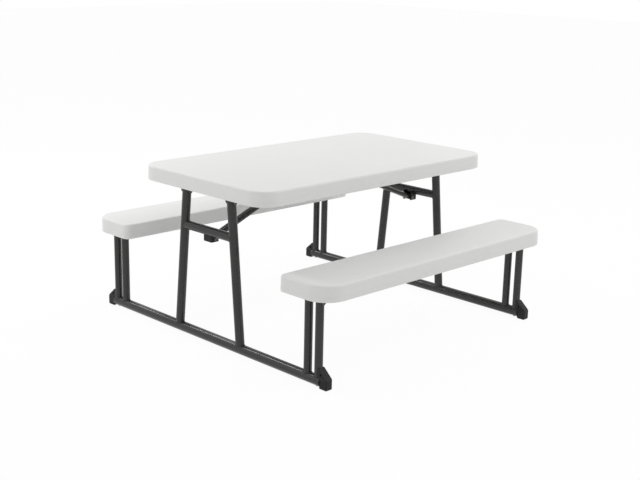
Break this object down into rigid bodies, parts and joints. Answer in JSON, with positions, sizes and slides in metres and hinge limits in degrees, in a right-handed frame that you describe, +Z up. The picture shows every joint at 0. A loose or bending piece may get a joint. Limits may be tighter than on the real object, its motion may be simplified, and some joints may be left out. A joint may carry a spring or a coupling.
{
  "type": "kids folding picnic table",
  "caption": "Child's picnic table with a moulded top, attached moulded benches and a tube frame that folds flat.",
  "frame": {"origin": "on the floor, under the middle of the table", "axes": "+X along the tabletop, +Y from the front bench to the back bench, +Z up"},
  "size_m": [0.9398, 1.0068, 0.48],
  "materials": {
    "moulded_panel": "pale moulded plastic, fine texture",
    "charcoal_steel": "charcoal powder coat, satin",
    "black_plastic": "black moulded plastic, matt",
    "dark_fasteners": "blackened steel, satin"
  },
  "bodies": {
    "tabletop": {"left_back_top_bracket": "charcoal_steel", "left_brace_receiver": "black_plastic", "left_front_top_bracket": "charcoal_steel", "right_back_top_bracket": "charcoal_steel", "right_brace_receiver": "black_plastic", "right_front_top_bracket": "charcoal_steel", "tabletop": "moulded_panel", "tabletop_screws": "dark_fasteners"},
    "left_frame": {"left_back_bench_bolt": "dark_fasteners", "left_back_foot": "black_plastic", "left_back_inner_post": "charcoal_steel", "left_back_leg": "charcoal_steel", "left_back_leg_bolt": "dark_fasteners", "left_back_outer_post": "charcoal_steel", "left_base_tube": "charcoal_steel", "left_brace_clevis": "black_plastic", "left_brace_pin": "dark_fasteners", "left_crossbar": "charcoal_steel", "left_foot_screws": "dark_fasteners", "left_front_bench_bolt": "dark_fasteners", "left_front_foot": "black_plastic", "left_front_inner_post": "charcoal_steel", "left_front_leg": "charcoal_steel", "left_front_leg_bolt": "dark_fasteners", "left_front_outer_post": "charcoal_steel"},
    "right_frame": {"right_back_bench_bolt": "dark_fasteners", "right_back_foot": "black_plastic", "right_back_inner_post": "charcoal_steel", "right_back_leg": "charcoal_steel", "right_back_leg_bolt": "dark_fasteners", "right_back_outer_post": "charcoal_steel", "right_base_tube": "charcoal_steel", "right_brace_clevis": "black_plastic", "right_brace_pin": "dark_fasteners", "right_crossbar": "charcoal_steel", "right_foot_screws": "dark_fasteners", "right_front_bench_bolt": "dark_fasteners", "right_front_foot": "black_plastic", "right_front_inner_post": "charcoal_steel", "right_front_leg": "charcoal_steel", "right_front_leg_bolt": "dark_fasteners", "right_front_outer_post": "charcoal_steel"},
    "front_bench": {"front_bench": "moulded_panel", "front_bench_screws": "dark_fasteners", "left_front_bench_bracket": "charcoal_steel", "right_front_bench_bracket": "charcoal_steel"},
    "back_bench": {"back_bench": "moulded_panel", "back_bench_screws": "dark_fasteners", "left_back_bench_bracket": "charcoal_steel", "right_back_bench_bracket": "charcoal_steel"},
    "left_brace": {"left_brace_eye": "black_plastic", "left_brace_tip": "black_plastic", "left_brace_tube": "charcoal_steel"},
    "right_brace": {"right_brace_eye": "black_plastic", "right_brace_tip": "black_plastic", "right_brace_tube": "charcoal_steel"}
  },
  "joints": [
    {"name": "left_frame_fold", "type": "hinge", "parent": "tabletop", "child": "left_frame", "pos_m": [-0.4256, 0, 0.4247], "axis": [0, -1, 0], "range_deg": [0, 88]},
    {"name": "right_frame_fold", "type": "hinge", "parent": "tabletop", "child": "right_frame", "pos_m": [0.4256, 0, 0.4247], "axis": [0, -1, 0], "range_deg": [0, 88]},
    {"name": "front_bench_swing", "type": "hinge", "parent": "left_frame", "child": "front_bench", "pos_m": [-0.4256, -0.42, 0.2283], "axis": [0, -1, 0], "range_deg": [-88, 0]},
    {"name": "back_bench_swing", "type": "hinge", "parent": "left_frame", "child": "back_bench", "pos_m": [-0.4256, 0.42, 0.2283], "axis": [0, -1, 0], "range_deg": [-88, 0]},
    {"name": "left_brace_swing", "type": "hinge", "parent": "left_frame", "child": "left_brace", "pos_m": [-0.4136, 0, 0.3032], "axis": [0, -1, 0], "range_deg": [-109.2, 0]},
    {"name": "right_brace_swing", "type": "hinge", "parent": "right_frame", "child": "right_brace", "pos_m": [0.4136, 0, 0.3032], "axis": [0, -1, 0], "range_deg": [0, 109.2]}
  ],
  "couplings": [
    {"joint": "right_frame_fold", "follows": "left_frame_fold", "ratio": 1},
    {"joint": "front_bench_swing", "follows": "left_frame_fold", "ratio": -1},
    {"joint": "back_bench_swing", "follows": "left_frame_fold", "ratio": -1},
    {"joint": "left_brace_swing", "follows": "left_frame_fold", "ratio": -1.24},
    {"joint": "right_brace_swing", "follows": "left_frame_fold", "ratio": 1.24}
  ]
}
